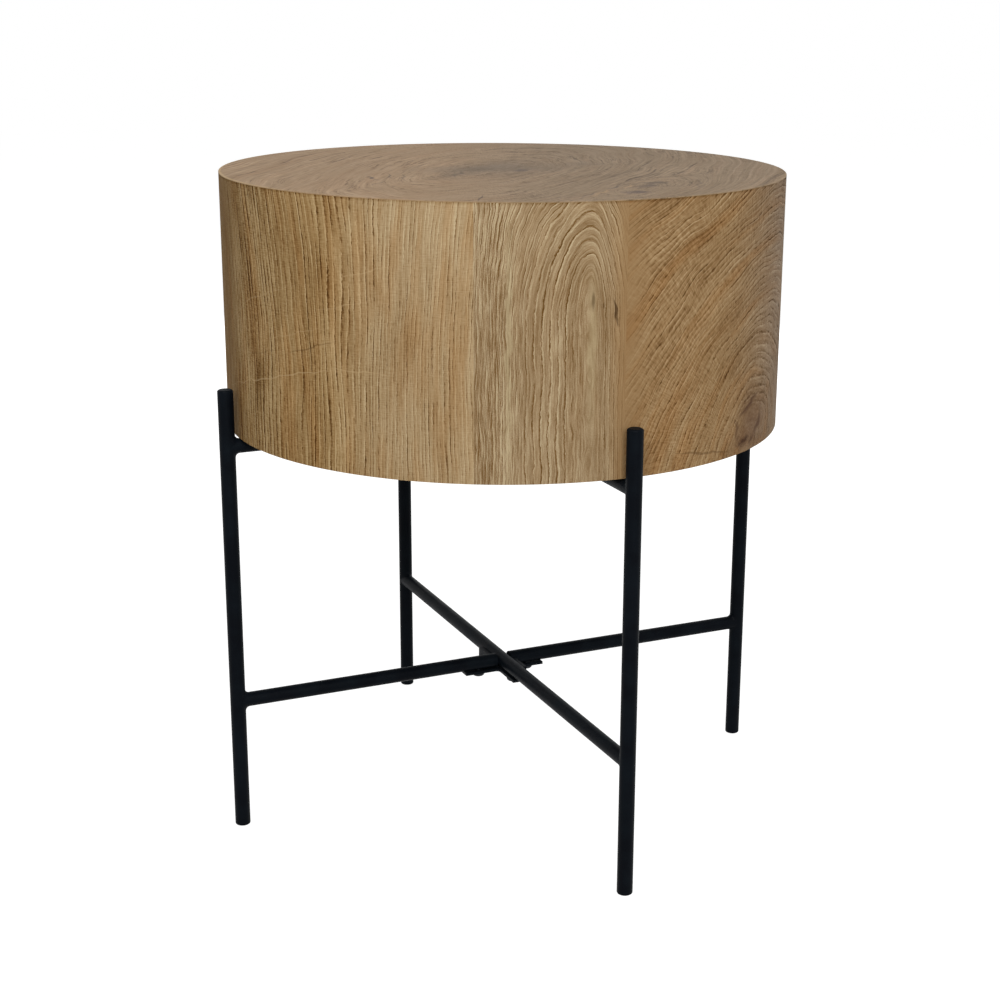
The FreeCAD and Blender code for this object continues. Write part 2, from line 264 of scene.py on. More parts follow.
def makeOakFigure():
    # Tone runs from 0 in the darkest pore to 1 in the palest ray, Relief is the open grain
    tree, given = newGroup(
        "oakFigure",
        {"Ring": 0.0, "Along": (0.0, 0.0, 0.0), "Ring Width": 6.0, "Phase": 0.0, "Fine From": 1000.0,
         "Fine Rate": 0.3, "Uneven Rings": 1.2, "Jag": 0.06, "Even": 0.25, "Fade": 0.2,
         "Fade Length": 45.0, "Plain Within": -1000.0, "Band Share": 0.45,
         "Band": 0.3, "Pale Line": 0.16, "Pore Width": 0.6, "Pore Length": 9.0, "Pores": 0.5,
         "Fibre Width": 1.0, "Fibre Length": 50.0, "Fibre": 0.5, "Ticks": 0.15, "Ray Width": 0.7,
         "Ray Length": 20.0, "Rays": 0.2, "Cloud": 0.4},
        {"Tone": "Float", "Relief": "Float", "Blush": "Float"})
    upward = addNode(tree, "ShaderNodeCombineXYZ", {"Z": given["Ring"]})
    place = addNode(tree, "ShaderNodeVectorMath", {0: given["Along"], 1: upward}, operation="ADD")

    # Rings of uneven width, closer together beyond Fine From, with a jagged edge
    count = addNode(tree, "ShaderNodeMath", {0: given["Ring"], 1: given["Ring Width"]}, operation="DIVIDE")
    count = addNode(tree, "ShaderNodeMath", {0: count, 1: given["Phase"]}, operation="ADD")
    beyond = addNode(tree, "ShaderNodeMath", {0: given["Ring"], 1: given["Fine From"]}, operation="SUBTRACT")
    beyond = addNode(tree, "ShaderNodeMath", {0: beyond, 1: 0.0}, operation="MAXIMUM")
    count = addNode(tree, "ShaderNodeMath", {0: beyond, 1: given["Fine Rate"], 2: count},
                    operation="MULTIPLY_ADD")
    uneven = addCloud(tree, place, grain["uneven"], 1.0)
    count = addSwing(tree, uneven, given["Uneven Rings"], count)
    jag = addNode(tree, "ShaderNodeTexNoise", {"Vector": place, "Scale": grain["jag"], "Detail": 2.0})
    count = addSwing(tree, jag, given["Jag"], count)
    within = addNode(tree, "ShaderNodeMath", {0: count}, operation="FRACT")
    number = addNode(tree, "ShaderNodeMath", {0: count}, operation="FLOOR")
    strong = addNode(tree, "ShaderNodeTexWhiteNoise", {"W": number}, noise_dimensions="1D")
    strong = addNode(tree, "ShaderNodeMapRange", {"Value": strong, "To Min": given["Even"], "To Max": 1.0})
    early = addNode(tree, "ShaderNodeMapRange",
                    {"Value": within, "From Max": given["Band Share"], "To Min": 1.0, "To Max": 0.0},
                    interpolation_type="SMOOTHSTEP")
    onset = addNode(tree, "ShaderNodeMapRange", {"Value": within, **grain["earlyOnset"]})
    early = addNode(tree, "ShaderNodeMath", {0: early, 1: onset}, operation="MULTIPLY")
    early = addNode(tree, "ShaderNodeMath", {0: early, 1: strong}, operation="MULTIPLY")
    late = addNode(tree, "ShaderNodeMapRange", {"Value": within, **grain["late"]},
                   interpolation_type="SMOOTHSTEP")

    # Bands fade and return along their length
    fading = addThreads(tree, place, given["Fade Length"], grain["fadeWidth"], 3.0)
    fading = addNode(tree, "ShaderNodeMapRange",
                     {"Value": fading, **window["fading"], "To Min": given["Fade"], "To Max": 1.2})
    plain = addNode(tree, "ShaderNodeMath", {0: given["Ring"], 1: given["Plain Within"]},
                    operation="SUBTRACT")
    plain = addNode(tree, "ShaderNodeMapRange", {"Value": plain, **window["plain"], "To Min": 0.1})
    fading = addNode(tree, "ShaderNodeMath", {0: fading, 1: plain}, operation="MULTIPLY")
    dark = addNode(tree, "ShaderNodeMath", {0: early, 1: given["Band"]}, operation="MULTIPLY")
    pale = addNode(tree, "ShaderNodeMath", {0: late, 1: given["Pale Line"]}, operation="MULTIPLY")
    band = addNode(tree, "ShaderNodeMath", {0: pale, 1: dark}, operation="SUBTRACT")
    tone = addNode(tree, "ShaderNodeMath", {0: band, 1: fading, 2: grain["groundTone"]},
                   operation="MULTIPLY_ADD")

    # Pores: open dashes, most of them in the early wood, drawn wider than the real 0.3 mm so that they show
    pores = addThreads(tree, place, given["Pore Length"], given["Pore Width"], 1.0, 0.6)
    pores = addNode(tree, "ShaderNodeMapRange", {"Value": pores, **window["pores"]})
    share = addNode(tree, "ShaderNodeMath",
                    {0: early, 1: 1 - grain["poresInLateWood"], 2: grain["poresInLateWood"]},
                    operation="MULTIPLY_ADD")
    pores = addNode(tree, "ShaderNodeMath", {0: pores, 1: share}, operation="MULTIPLY")
    dark = addNode(tree, "ShaderNodeMath", {0: pores, 1: given["Pores"]}, operation="MULTIPLY")
    tone = addNode(tree, "ShaderNodeMath", {0: tone, 1: dark}, operation="SUBTRACT")

    # Fibre: straight threads, real ones too fine to show and so drawn a millimetre or two apart, and the
    # ticks of the small rays across them
    fibre = addThreads(tree, place, given["Fibre Length"], given["Fibre Width"], 3.0, 0.6)
    fibre = addNode(tree, "ShaderNodeMath", {0: fibre, 1: 0.5}, operation="SUBTRACT")
    tone = addNode(tree, "ShaderNodeMath", {0: fibre, 1: given["Fibre"], 2: tone}, operation="MULTIPLY_ADD")
    ticks = addCloud(tree, place, grain["ticks"], 2.0)
    tone = addSwing(tree, ticks, given["Ticks"], tone)

    # Rays: pale threads that lie across the rings, in loose groups
    rays = addThreads(tree, place, given["Ray Width"], given["Ray Length"], 0.0)
    rays = addNode(tree, "ShaderNodeMapRange", {"Value": rays, **window["rays"]})
    groups = addNode(tree, "ShaderNodeTexNoise",
                     {"Vector": place, "Scale": grain["rayGroups"], "Detail": 1.0})
    groups = addNode(tree, "ShaderNodeMapRange", {"Value": groups, **window["rayGroups"]})
    rays = addNode(tree, "ShaderNodeMath", {0: rays, 1: groups}, operation="MULTIPLY")
    tone = addNode(tree, "ShaderNodeMath", {0: rays, 1: given["Rays"], 2: tone}, operation="MULTIPLY_ADD")

    # Slow drift of the ground colour
    ground = addCloud(tree, place, grain["ground"], 2.0)
    tone = addSwing(tree, ground, given["Cloud"], tone)

    # Redder patches, as broad as a few rings
    drawn = addNode(tree, "ShaderNodeVectorMath", {0: place, 1: grain["blush"]}, operation="MULTIPLY")
    drawn = addNode(tree, "ShaderNodeVectorMath", {0: drawn, 1: grain["blushFrom"]}, operation="ADD")
    blush = addNode(tree, "ShaderNodeTexNoise", {"Vector": drawn, "Scale": 1.0, "Detail": 2.5})
    blush = addNode(tree, "ShaderNodeMapRange", {"Value": blush, **window["blush"]})

    relief = addNode(tree, "ShaderNodeMath", {0: pores, 1: -1.0, 2: fibre}, operation="MULTIPLY_ADD")
    addNode(tree, "NodeGroupOutput", {"Tone": tone, "Relief": relief, "Blush": blush})
    return tree


def makeStain():
    # A ragged patch, 1 inside and 0 outside: a knot, a mineral streak or a closed crack
    tree, given = newGroup(
        "stain",
        {"Across": 0.0, "Up": 0.0, "Middle Across": 0.0, "Middle Up": 0.0, "Half Width": 5.0,
         "Half Height": 5.0, "Lean": 0.0, "Wobble": 0.0, "Ragged": 0.6, "Soft": 0.6},
        {"Share": "Float"})
    place = addPlaceAbout(tree, given, "Middle")
    place = addDrift(tree, place, grain["stainWave"], given["Wobble"], (1, 1, 0))
    halves = addNode(tree, "ShaderNodeCombineXYZ",
                     {"X": given["Half Width"], "Y": given["Half Height"], "Z": 1.0})
    place = addNode(tree, "ShaderNodeVectorMath", {0: place, 1: halves}, operation="DIVIDE")
    distance = addNode(tree, "ShaderNodeVectorMath", {0: place}, output="Value", operation="LENGTH")
    edge = addNode(tree, "ShaderNodeTexNoise",
                   {"Vector": place, "Scale": grain["stainEdge"], "Detail": 4.0})
    distance = addSwing(tree, edge, given["Ragged"], distance)
    inner = addNode(tree, "ShaderNodeMath", {0: 1.0, 1: given["Soft"]}, operation="SUBTRACT")
    share = addNode(tree, "ShaderNodeMapRange",
                    {"Value": distance, "From Min": inner, "From Max": 1.0, "To Min": 1.0, "To Max": 0.0},
                    interpolation_type="SMOOTHSTEP")
    addNode(tree, "NodeGroupOutput", {"Share": share})
    return tree


drumMap = makeDrumMap()
heartMap = makeHeartMap()
cathedralMap = makeCathedralMap()
bentMap = makeBentMap()
oakFigure = makeOakFigure()
stain = makeStain()


def addStains(tree, colour, across, rise, rows):
    # A row: middle across and up, half width and height, lean, wobble, colour, strength, ragged, soft
    for x, y, halfWidth, halfHeight, lean, wobble, code, strength, ragged, soft in rows:
        share = addNode(tree, "ShaderNodeGroup", {
            "Across": across, "Up": rise, "Middle Across": x, "Middle Up": y, "Half Width": halfWidth,
            "Half Height": halfHeight, "Lean": math.radians(lean), "Wobble": wobble, "Ragged": ragged,
            "Soft": soft}, node_tree=stain)
        share = addNode(tree, "ShaderNodeMath", {0: share, 1: strength}, operation="MULTIPLY")
        colour = addNode(tree, "ShaderNodeMix", {0: share, 6: colour, 7: linear(code)}, output=2,
                         data_type="RGBA")
    return colour


# edgeFrom, edgeTo and edgeShade set the painted shade along the side's top edge
lacquer = {"inPores": 0.85, "onWood": 0.62, "relief": 0.5, "depth": 0.0003, "sideShine": 0.05,
           "backingShine": 0.12, "topShine": 0.5, "edgeFrom": 2.4, "edgeTo": 0.8, "edgeShade": 0.22}
middleTone = 0.55  # stays as it is where the contrast changes
singleRay = {"pale": "c9ac80", "dark": "543a1f", "halfWidth": 0.65, "share": 0.7, "wobble": 6,
             "ragged": 1.6, "soft": 0.6}


def addRays(tree, colour, across, rise, rays):
    # Long single rays: place, half length, lean and strength, pale above 0 and dark below
    rows = [(x, y, half, singleRay["halfWidth"], -lean, singleRay["wobble"],
             singleRay["pale" if strength > 0 else "dark"], abs(strength) * singleRay["share"],
             singleRay["ragged"], singleRay["soft"]) for x, y, half, lean, strength in rays]
    return addStains(tree, colour, across, rise, rows)


def addBlush(tree, colour, blush, strength):
    share = addNode(tree, "ShaderNodeMath", {0: blush, 1: strength}, operation="MULTIPLY")
    return addNode(tree, "ShaderNodeMix", {0: share, 6: colour, 7: linear(grain["blushColour"])},
                   output=2, data_type="RGBA", blend_type="MULTIPLY")


def finishOak(tree, colour, relief, tone, shine):
    # Matt lacquer on open grain: the pores are duller than the wood between them
    rough = addNode(tree, "ShaderNodeMapRange",
                    {"Value": tone, "To Min": lacquer["inPores"], "To Max": lacquer["onWood"]})
    addSurface(tree, relief, lacquer["relief"], lacquer["depth"],
               {"Base Color": colour, "Roughness": rough, "IOR": 1.5, "Specular IOR Level": shine})


# Side veneer: each leaf has its own figure. Girth is measured from the leaf's middle, heights from the floor.
# A strength is a middle, a reach and the contrast there. A turn is from, to and the colours it turns to.
warmOak = [(0.0, "4a2f11"), (0.25, "704f29"), (0.5, "96774c"), (0.7, "aa8c60"), (1.0, "c6aa7e")]
paleOak = [(0.0, "573e22"), (0.25, "806340"), (0.5, "a08661"), (0.7, "b09773"), (1.0, "c6b18d")]
brownOak = [(0.0, "4c3217"), (0.25, "6f5130"), (0.5, "8f704b"), (0.7, "a1845e"), (1.0, "bc9f78")]
greyOak = [(0.0, "61451f"), (0.25, "785a36"), (0.5, "8f7655"), (0.7, "a28a69"), (1.0, "bda987")]
# Painted shade: leaves 4 and 5 turn to this darker ramp where the side turns away from the key lamp
paintedShadeOak = [(0.0, "432b10"), (0.25, "634620"), (0.5, "80633c"), (0.7, "92744b"), (1.0, "ab8f66")]
# Painted reflection: leaf 2 turns to this greyer ramp where the side turns away from the key lamp, standing
# in for the lacquer's grazing sheen
paintedReflectionOak = [(0.0, "4b3d2e"), (0.25, "6c5944"), (0.5, "8c7863"), (0.7, "9e8a75"), (1.0, "b5a28c")]

sideLeaves = {
    "side_veneer_leaf_1": {
        "span": (-119, -91), "ramp": greyOak, "map": "cathedral",
        "lines": {"Axis": 24.7, "Wander": 7.0},
        "figure": {"Ring Width": 6.4, "Phase": 0.38, "Fine From": 50.0, "Fine Rate": 0.2,
                   "Uneven Rings": 0.5, "Jag": 0.32, "Even": 0.5, "Fade": 0.35, "Fade Length": 24.0,
                   "Plain Within": 14.0, "Band Share": 0.24, "Band": 0.82, "Pale Line": 0.2,
                   "Pore Width": 0.6, "Pore Length": 6.0, "Pores": 0.5, "Fibre Width": 1.2,
                   "Fibre Length": 22.0, "Fibre": 1.1, "Ticks": 0.3, "Rays": 0.05, "Cloud": 0.4},
        "strengths": [(48.9, 10.0, 0.3), (-36.0, 20.0, 2.1), (10.0, 30.0, 1.3)],
        "turns": [(34.0, 48.0, brownOak)],
        "blush": 0.12, "rays": [],
        "stains": [
            (-40, 385, 14, 140, 0, 20, "6f5738", 0.15, 0.9, 1.0),
            (-27.2, 378, 3.4, 125, 0, 10, "b9a782", 0.5, 0.7, 0.9),
            (26, 380, 5.5, 70, 0, 6, "b3a17b", 0.4, 0.6, 1.0),
            (26.2, 408.5, 1.7, 8, 0, 0, "6c583c", 0.85, 0.6, 0.8),
            (41.6, 401, 1.7, 10, -12, 3, "3d2610", 0.8, 2.0, 0.6),
            (33, 405, 0.8, 2.5, -8, 0, "4e351b", 0.6, 0.6, 0.6),
        ]},
    "side_veneer_leaf_2": {
        "span": (-91, 5), "ramp": brownOak, "map": "heart",
        "lines": {"Heart Across": -48.0, "Heart Up": 300.0, "Lean": math.radians(44), "Tall": 1.4,
                  "Reach": 85.0, "Wander": 8.0},
        "figure": {"Ring Width": 4.3, "Fine From": 60.0, "Fine Rate": 0.1, "Uneven Rings": 2.2, "Jag": 0.6,
                   "Even": 0.3, "Fade": -0.1, "Fade Length": 13.0, "Plain Within": 22.0, "Band Share": 0.55,
                   "Band": 0.32, "Pale Line": 0.22, "Pore Width": 0.8, "Pore Length": 2.2, "Pores": 0.5,
                   "Fibre Width": 1.2, "Fibre Length": 16.0, "Fibre": 0.8, "Ticks": 0.6, "Ray Width": 0.9,
                   "Ray Length": 7.0, "Rays": 0.07, "Cloud": 0.5},
        "strengths": [(-167.5, 26.0, 0.3), (160.0, 120.0, 0.45)],
        # The first turn is a painted reflection: the leaf greys towards its end that meets leaf 3
        "turns": [(-95.0, 30.0, paintedReflectionOak), (60.0, 160.0, greyOak)], "rays": [],
        "stains": [
            (-44, 306, 38, 40, 0, 16, "64493a", 0.55, 1.2, 1.0),
            (-50, 324, 21, 3.5, -20, 14, "4f3527", 0.75, 1.6, 0.9),
            (-35, 307, 4.5, 18, 20, 14, "4f3527", 0.7, 1.6, 0.9),
            (-66, 309, 3.5, 14, -24, 12, "5a3f2c", 0.65, 1.6, 1.0),
            (-57, 300, 11, 5, 0, 10, "41291b", 0.85, 1.8, 0.9),
            (-45, 299, 5, 6, 0, 10, "4c3222", 0.7, 1.8, 1.0),
            (-100, 300, 38, 1.1, 9, 5, "573d22", 0.5, 1.6, 0.6),
        ]},
    "side_veneer_leaf_3": {
        "span": (5, 88), "ramp": warmOak, "map": "cathedral",
        "lines": {"Axis": -12.0, "Spring": 400.0, "Foot": -40.0, "Steep": 1.4, "Open": 1.6, "Right": 0.8,
                  "Leaning To": 110.0, "Wander": 10.0},
        "figure": {"Ring Width": 7.0, "Fine From": 60.0, "Fine Rate": 0.12, "Uneven Rings": 1.4, "Jag": 0.16,
                   "Band Share": 0.25, "Band": 0.36, "Pale Line": 0.1, "Pore Length": 8.0, "Pores": 0.4,
                   "Fibre": 0.5, "Rays": 0.05},
        "turns": [(-50.0, -140.0, greyOak), (60.0, 130.0, greyOak)],
        "rays": [(-80, 345, 22, 9, 0.5), (30, 420, 26, 5, 0.4), (70, 330, 18, 12, -0.4)],
        "stains": [
            (60, 366, 1.6, 10, -8, 0, "5a442b", 0.6, 2.0, 0.6),
        ]},
    "side_veneer_leaf_4": {
        "span": (88, 170), "ramp": greyOak, "map": "bent",
        "lines": {"Level": 300.0, "Bend": 900.0, "Turn From": -60.0, "Turn To": 70.0, "Right Share": -0.2,
                  "Wander": 14.0},
        "figure": {"Ring Width": 4.6, "Uneven Rings": 1.8, "Jag": 0.3, "Band Share": 0.4, "Band": 0.38,
                   "Pore Length": 7.0, "Pores": 0.45, "Fibre Width": 1.3, "Fibre Length": 30.0,
                   "Fibre": 0.8, "Rays": 0.04},
        # This turn is painted shade: the leaf darkens towards its end that meets leaf 5
        "turns": [(92.0, 143.0, paintedShadeOak)],
        "rays": [(-90, 360, 36, -9, 0.5), (-40, 400, 28, -11, 0.45), (20, 340, 40, -8, 0.55),
                 (60, 415, 30, -12, 0.4), (90, 372, 24, -9, -0.45), (-60, 322, 18, -7, 0.4)],
        "stains": []},
    "side_veneer_leaf_5": {
        "span": (170, 241), "ramp": warmOak, "map": "bent",
        "lines": {"Level": 335.0, "Bend": 630.0, "Turn From": -25.0, "Turn To": 90.0, "Right Share": -0.25,
                  "Wander": 7.0},
        "figure": {"Ring Width": 3.9, "Fine From": 54.0, "Fine Rate": 0.16, "Uneven Rings": 3.0, "Jag": 0.35,
                   "Even": 0.3, "Fade": 0.0, "Fade Length": 30.0, "Band Share": 0.44, "Band": 0.58,
                   "Pale Line": 0.32, "Pore Width": 0.9, "Pore Length": 5.0, "Pores": 0.5, "Fibre Width": 1.3,
                   "Fibre Length": 40.0, "Fibre": 1.0, "Ticks": 0.5, "Rays": 0.05, "Cloud": 0.6},
        # The second turn is painted shade: the leaf darkens towards its end that meets leaf 4
        "turns": [(15.0, 80.0, paleOak), (-58.0, -104.0, paintedShadeOak)],
        "strengths": [(100.0, 80.0, 0.8), (-118.0, 50.0, 0.6), (-56.0, 56.0, 1.7)],
        "rays": [(-29, 346, 86, 13.5, 0.6), (45, 360, 30, 0, 0.45), (8, 371, 30, 16, -0.65),
                 (-42, 361, 26, 12, -0.35), (-38, 400, 48, 16, 0.35), (-8, 378, 36, 14, 0.3),
                 (54, 424, 30, 14, 0.35), (32, 400, 26, 12, 0.3), (-75, 385, 28, 28, 0.3)],
        "stains": []},
}
leafMaps = {"heart": heartMap, "cathedral": cathedralMap, "bent": bentMap}


def scaleTone(tree, tone, share):
    # More or less contrast about the middle tone
    tone = addNode(tree, "ShaderNodeMath", {0: tone, 1: middleTone}, operation="SUBTRACT")
    return addNode(tree, "ShaderNodeMath", {0: tone, 1: share, 2: middleTone}, operation="MULTIPLY_ADD")


def weighTone(tree, tone, girth, middle, reach, least):
    # The figure weakens towards a joint that doesn't show, or grows strong in a zone of dense pores
    away = addNode(tree, "ShaderNodeMath", {0: girth, 1: middle}, operation="SUBTRACT")
    away = addNode(tree, "ShaderNodeMath", {0: away}, operation="ABSOLUTE")
    share = addNode(tree, "ShaderNodeMapRange",
                    {"Value": away, "From Max": reach, "To Min": least, "To Max": 1.0},
                    interpolation_type="SMOOTHSTEP")
    return scaleTone(tree, tone, share)


def turnColour(tree, colour, tone, place, start, end, ramp):
    # The colour turns to another ramp's between two places: the wood's own tone, and on some leaves painted
    # shade and a painted reflection near the drum's edges
    share = addNode(tree, "ShaderNodeMapRange", {"Value": place, "From Min": start, "From Max": end},
                    interpolation_type="SMOOTHSTEP")
    other = addNode(tree, "ShaderNodeValToRGB", {0: tone}, stops=ramp)
    return addNode(tree, "ShaderNodeMix", {0: share, 6: colour, 7: other}, output=2, data_type="RGBA")


def sideOak(name, leaf):
    # Sliced oak, lacquered matt: warm straw with brown pore lines
    material, tree = newMaterial("lacqueredOak_" + name[-6:])
    start, end = leaf["span"]
    place = addNode(tree, "ShaderNodeGroup", {"Turn": -math.radians((start + end) / 2)},
                    node_tree=drumMap).node.outputs
    girth, height = place["Girth"], place["Height"]
    given = {"Across": girth, "Up": height} if leaf["map"] == "heart" else {"Girth": girth, "Height": height}
    lines = addNode(tree, "ShaderNodeGroup", {**given, **leaf["lines"]},
                    node_tree=leafMaps[leaf["map"]]).node.outputs
    figure = addNode(tree, "ShaderNodeGroup",
                     {"Ring": lines["Ring"], "Along": lines["Along"], **leaf["figure"]},
                     node_tree=oakFigure).node.outputs
    tone = figure["Tone"]
    for middle, reach, least in leaf.get("strengths", ()):
        tone = weighTone(tree, tone, girth, middle, reach, least)
    # Painted shade: the side darkens in the last millimetres under the top's edge
    edge = addNode(tree, "ShaderNodeMapRange",
                   {"Value": height, "From Min": drumTop - lacquer["edgeFrom"],
                    "From Max": drumTop - lacquer["edgeTo"], "To Max": lacquer["edgeShade"]})
    tone = addNode(tree, "ShaderNodeMath", {0: tone, 1: edge}, operation="SUBTRACT")
    colour = addNode(tree, "ShaderNodeValToRGB", {0: tone}, stops=leaf["ramp"])
    for turnFrom, turnTo, ramp in leaf["turns"]:
        colour = turnColour(tree, colour, tone, girth, turnFrom, turnTo, ramp)
    colour = addBlush(tree, colour, figure["Blush"], leaf.get("blush", grain["usualBlush"]))
    colour = addRays(tree, colour, girth, height, leaf["rays"])
    colour = addStains(tree, colour, girth, height, leaf["stains"])
    finishOak(tree, colour, figure["Relief"], tone, lacquer["sideShine"])
    return material


for name, leaf in sideLeaves.items():
    nodes[name].material_slots[0].material = sideOak(name, leaf)
print("side veneer finished")


# Top veneer: cut across the heart. Places are in millimetres, across and away in the photograph.
topLeaf = {
    "turn": 25.0,   # the pattern's own X axis points to the right in the photograph
    # Painted highlight: a pale line along the top's rim where the edge catches the light, strongest on the
    # left
    "rim": {"from": 197.8, "to": 199.0, "colour": "bfa277", "left": 0.6, "right": 0.1, "paleFrom": -180.0,
            "paleTo": -120.0},
    "ramp": [(0.0, "44331f"), (0.25, "6b5137"), (0.5, "8b7152"), (0.7, "9a7e5e"), (1.0, "ae916d")],
    "turnsTo": (-70.0, 50.0, [(0.0, "3a2c20"), (0.25, "5a4733"), (0.5, "766146"), (0.7, "856e52"),
                              (1.0, "997f61")]),
    "heart": {"Heart Across": -12.0, "Heart Up": -8.0, "Lean": math.radians(14), "Tall": 2.4, "Reach": 75.0,
              "Wander": 12.0},
    "knot": {"Heart Across": 90.0, "Heart Up": -118.0, "Lean": math.radians(20), "Tall": 3.0,
             "Reach": 60.0, "Wander": 5.0},
    "knotReach": 98.0, "knotRings": 1.5, "knotBlend": 14.0, "knotTurn": 12.0, "blush": 0.2,
    "patches": {"Scale": 0.013, "least": 0.3, "most": 1.05},
    "figure": {"Ring Width": 8.0, "Uneven Rings": 2.5, "Jag": 0.6, "Even": 0.1, "Fade": -0.5,
               "Fade Length": 40.0, "Band Share": 0.7, "Band": 0.05, "Pale Line": 0.03, "Pore Width": 1.0,
               "Pore Length": 7.0, "Pores": 0.55, "Fibre Width": 1.9, "Fibre Length": 20.0, "Fibre": 1.2,
               "Ticks": 0.7, "Ray Length": 30.0, "Rays": 0.06, "Cloud": 0.5},
    "stains": [
        (-5, -5, 66, 92, 22, 0, "5d4c38", 0.7, 1.3, 1.0),
        (-22, -18, 22, 50, 22, 20, "52412b", 0.6, 1.6, 1.0),
        (55, 30, 22, 40, 22, 20, "584836", 0.3, 1.6, 1.0),
        (13, -14, 7, 10, 0, 4, "443125", 0.75, 1.6, 0.6),
        (-87, -72, 2.6, 17, -24, 8, "3a2819", 0.9, 1.6, 0.9),
        (-76, -58, 1.3, 20, -9, 6, "493724", 0.55, 1.5, 0.6),
        (-66, -66, 1.5, 24, -6, 8, "493724", 0.45, 1.5, 0.6),
        (-80, -104, 1.5, 18, 14, 8, "493724", 0.4, 1.5, 0.6),
        (88, -142, 11, 14, 20, 8, "3c281d", 0.9, 1.4, 0.9),
        (97, -106, 8, 20, 20, 8, "3f2c1f", 0.75, 1.5, 0.9),
        (104, -86, 8, 13, 24, 10, "443425", 0.8, 1.4, 0.9),
        (74, -120, 2.2, 30, 14, 8, "453325", 0.8, 1.4, 0.9),
        (57, -160, 1.8, 30, 16, 8, "493728", 0.6, 1.5, 0.9),
        (66, -146, 3.0, 38, 16, 10, "a58760", 0.5, 1.5, 0.9),
        (84, -112, 2.2, 18, 10, 8, "a18461", 0.6, 1.5, 0.9),
        (132, -92, 1.8, 30, 6, 8, "4b3829", 0.5, 1.5, 0.9),
        (-30, -42, 3, 24, 6, 14, "423425", 0.65, 1.6, 0.9),
        (-10, -181, 1.0, 17, 4, 3, "392216", 0.8, 0.6, 0.6),
    ],
}


def topOak(leaf):
    # Oak cut across its heart: faint rings and soft dark knots, greyed at a slant by the lacquer's sheen
    material, tree = newMaterial("lacqueredOakTop")
    place = addNode(tree, "ShaderNodeTexCoord", output="Object")
    place = addNode(tree, "ShaderNodeMapping",
                    {"Vector": place, "Rotation": (0, 0, math.radians(leaf["turn"])),
                     "Scale": (1000, 1000, 1000)})
    parts = addNode(tree, "ShaderNodeSeparateXYZ", {0: place}).node.outputs
    across, rise = parts["X"], parts["Y"]
    heart = addNode(tree, "ShaderNodeGroup", {"Across": across, "Up": rise, **leaf["heart"]},
                    node_tree=heartMap).node.outputs
    knot = addNode(tree, "ShaderNodeGroup", {"Across": across, "Up": rise, **leaf["knot"]},
                   node_tree=heartMap).node.outputs
    knotRing = addNode(tree, "ShaderNodeMath",
                       {0: knot["Ring"], 1: leaf["knotRings"], 2: leaf["knotReach"]},
                       operation="MULTIPLY_ADD")
    ring = addNode(tree, "ShaderNodeMath", {0: heart["Ring"], 1: knotRing, 2: leaf["knotBlend"]},
                   operation="SMOOTH_MIN")
    nearer = addNode(tree, "ShaderNodeMath", {0: heart["Ring"], 1: knotRing}, operation="SUBTRACT")
    nearer = addNode(tree, "ShaderNodeMapRange",
                     {"Value": nearer, "From Min": -leaf["knotTurn"], "From Max": leaf["knotTurn"]},
                     interpolation_type="SMOOTHSTEP")
    along = addNode(tree, "ShaderNodeMix", {0: nearer, 4: heart["Along"], 5: knot["Along"]}, output=1,
                    data_type="VECTOR")
    figure = addNode(tree, "ShaderNodeGroup", {"Ring": ring, "Along": along, **leaf["figure"]},
                     node_tree=oakFigure).node.outputs
    # The figure comes and goes in patches as broad as a hand
    flat = addNode(tree, "ShaderNodeCombineXYZ", {"X": across, "Y": rise})
    patches = addNode(tree, "ShaderNodeTexNoise",
                      {"Vector": flat, "Scale": leaf["patches"]["Scale"], "Detail": 1.0})
    patches = addNode(tree, "ShaderNodeMapRange",
                      {"Value": patches, **window["patches"], "To Min": leaf["patches"]["least"],
                       "To Max": leaf["patches"]["most"]})
    tone = scaleTone(tree, figure["Tone"], patches)
    colour = addNode(tree, "ShaderNodeValToRGB", {0: tone}, stops=leaf["ramp"])
    turnFrom, turnTo, ramp = leaf["turnsTo"]
    colour = turnColour(tree, colour, tone, across, turnFrom, turnTo, ramp)
    colour = addBlush(tree, colour, figure["Blush"], leaf["blush"])
    colour = addStains(tree, colour, across, rise, leaf["stains"])
    # Painted highlight: a pale line along the top's rim where the edge catches the light, strongest on the
    # left
    rim = leaf["rim"]
    radius = addNode(tree, "ShaderNodeVectorMath", {0: flat}, output="Value", operation="LENGTH")
    highlightShare = addNode(tree, "ShaderNodeMapRange",
                   {"Value": radius, "From Min": rim["from"], "From Max": rim["to"]})
    highlightStrength = addNode(tree, "ShaderNodeMapRange",
                   {"Value": across, "From Min": rim["paleFrom"], "From Max": rim["paleTo"],
                    "To Min": rim["left"], "To Max": rim["right"]})
    highlightShare = addNode(tree, "ShaderNodeMath", {0: highlightShare, 1: highlightStrength}, operation="MULTIPLY")
    colour = addNode(tree, "ShaderNodeMix", {0: highlightShare, 6: colour, 7: linear(rim["colour"])}, output=2,
                     data_type="RGBA")
    finishOak(tree, colour, figure["Relief"], figure["Tone"], lacquer["topShine"])
    return material


nodes["top_veneer"].material_slots[0].material = topOak(topLeaf)


# Backing veneer: plain straight oak under the drum
backing = {
    "ramp": [(0.0, "4c3b24"), (0.25, "6f583a"), (0.5, "8d7452"), (0.7, "9f8663"), (1.0, "b7a07c")],
    "lines": {"Level": -60.0, "Bend": 1500.0, "Turn From": -120.0, "Turn To": 120.0, "Right Share": -0.4,
              "Wander": 24.0},
    "figure": {"Ring Width": 5.5, "Uneven Rings": 3.0, "Band": 0.2, "Pore Length": 12.0, "Pores": 0.45,
               "Fibre": 0.5, "Rays": 0.05, "Cloud": 0.5},
    "blush": 0.4,
    "rays": [(-90, 60, 24, 4, 0.4), (20, -80, 30, -5, 0.4), (70, 40, 20, 8, -0.35)],
}


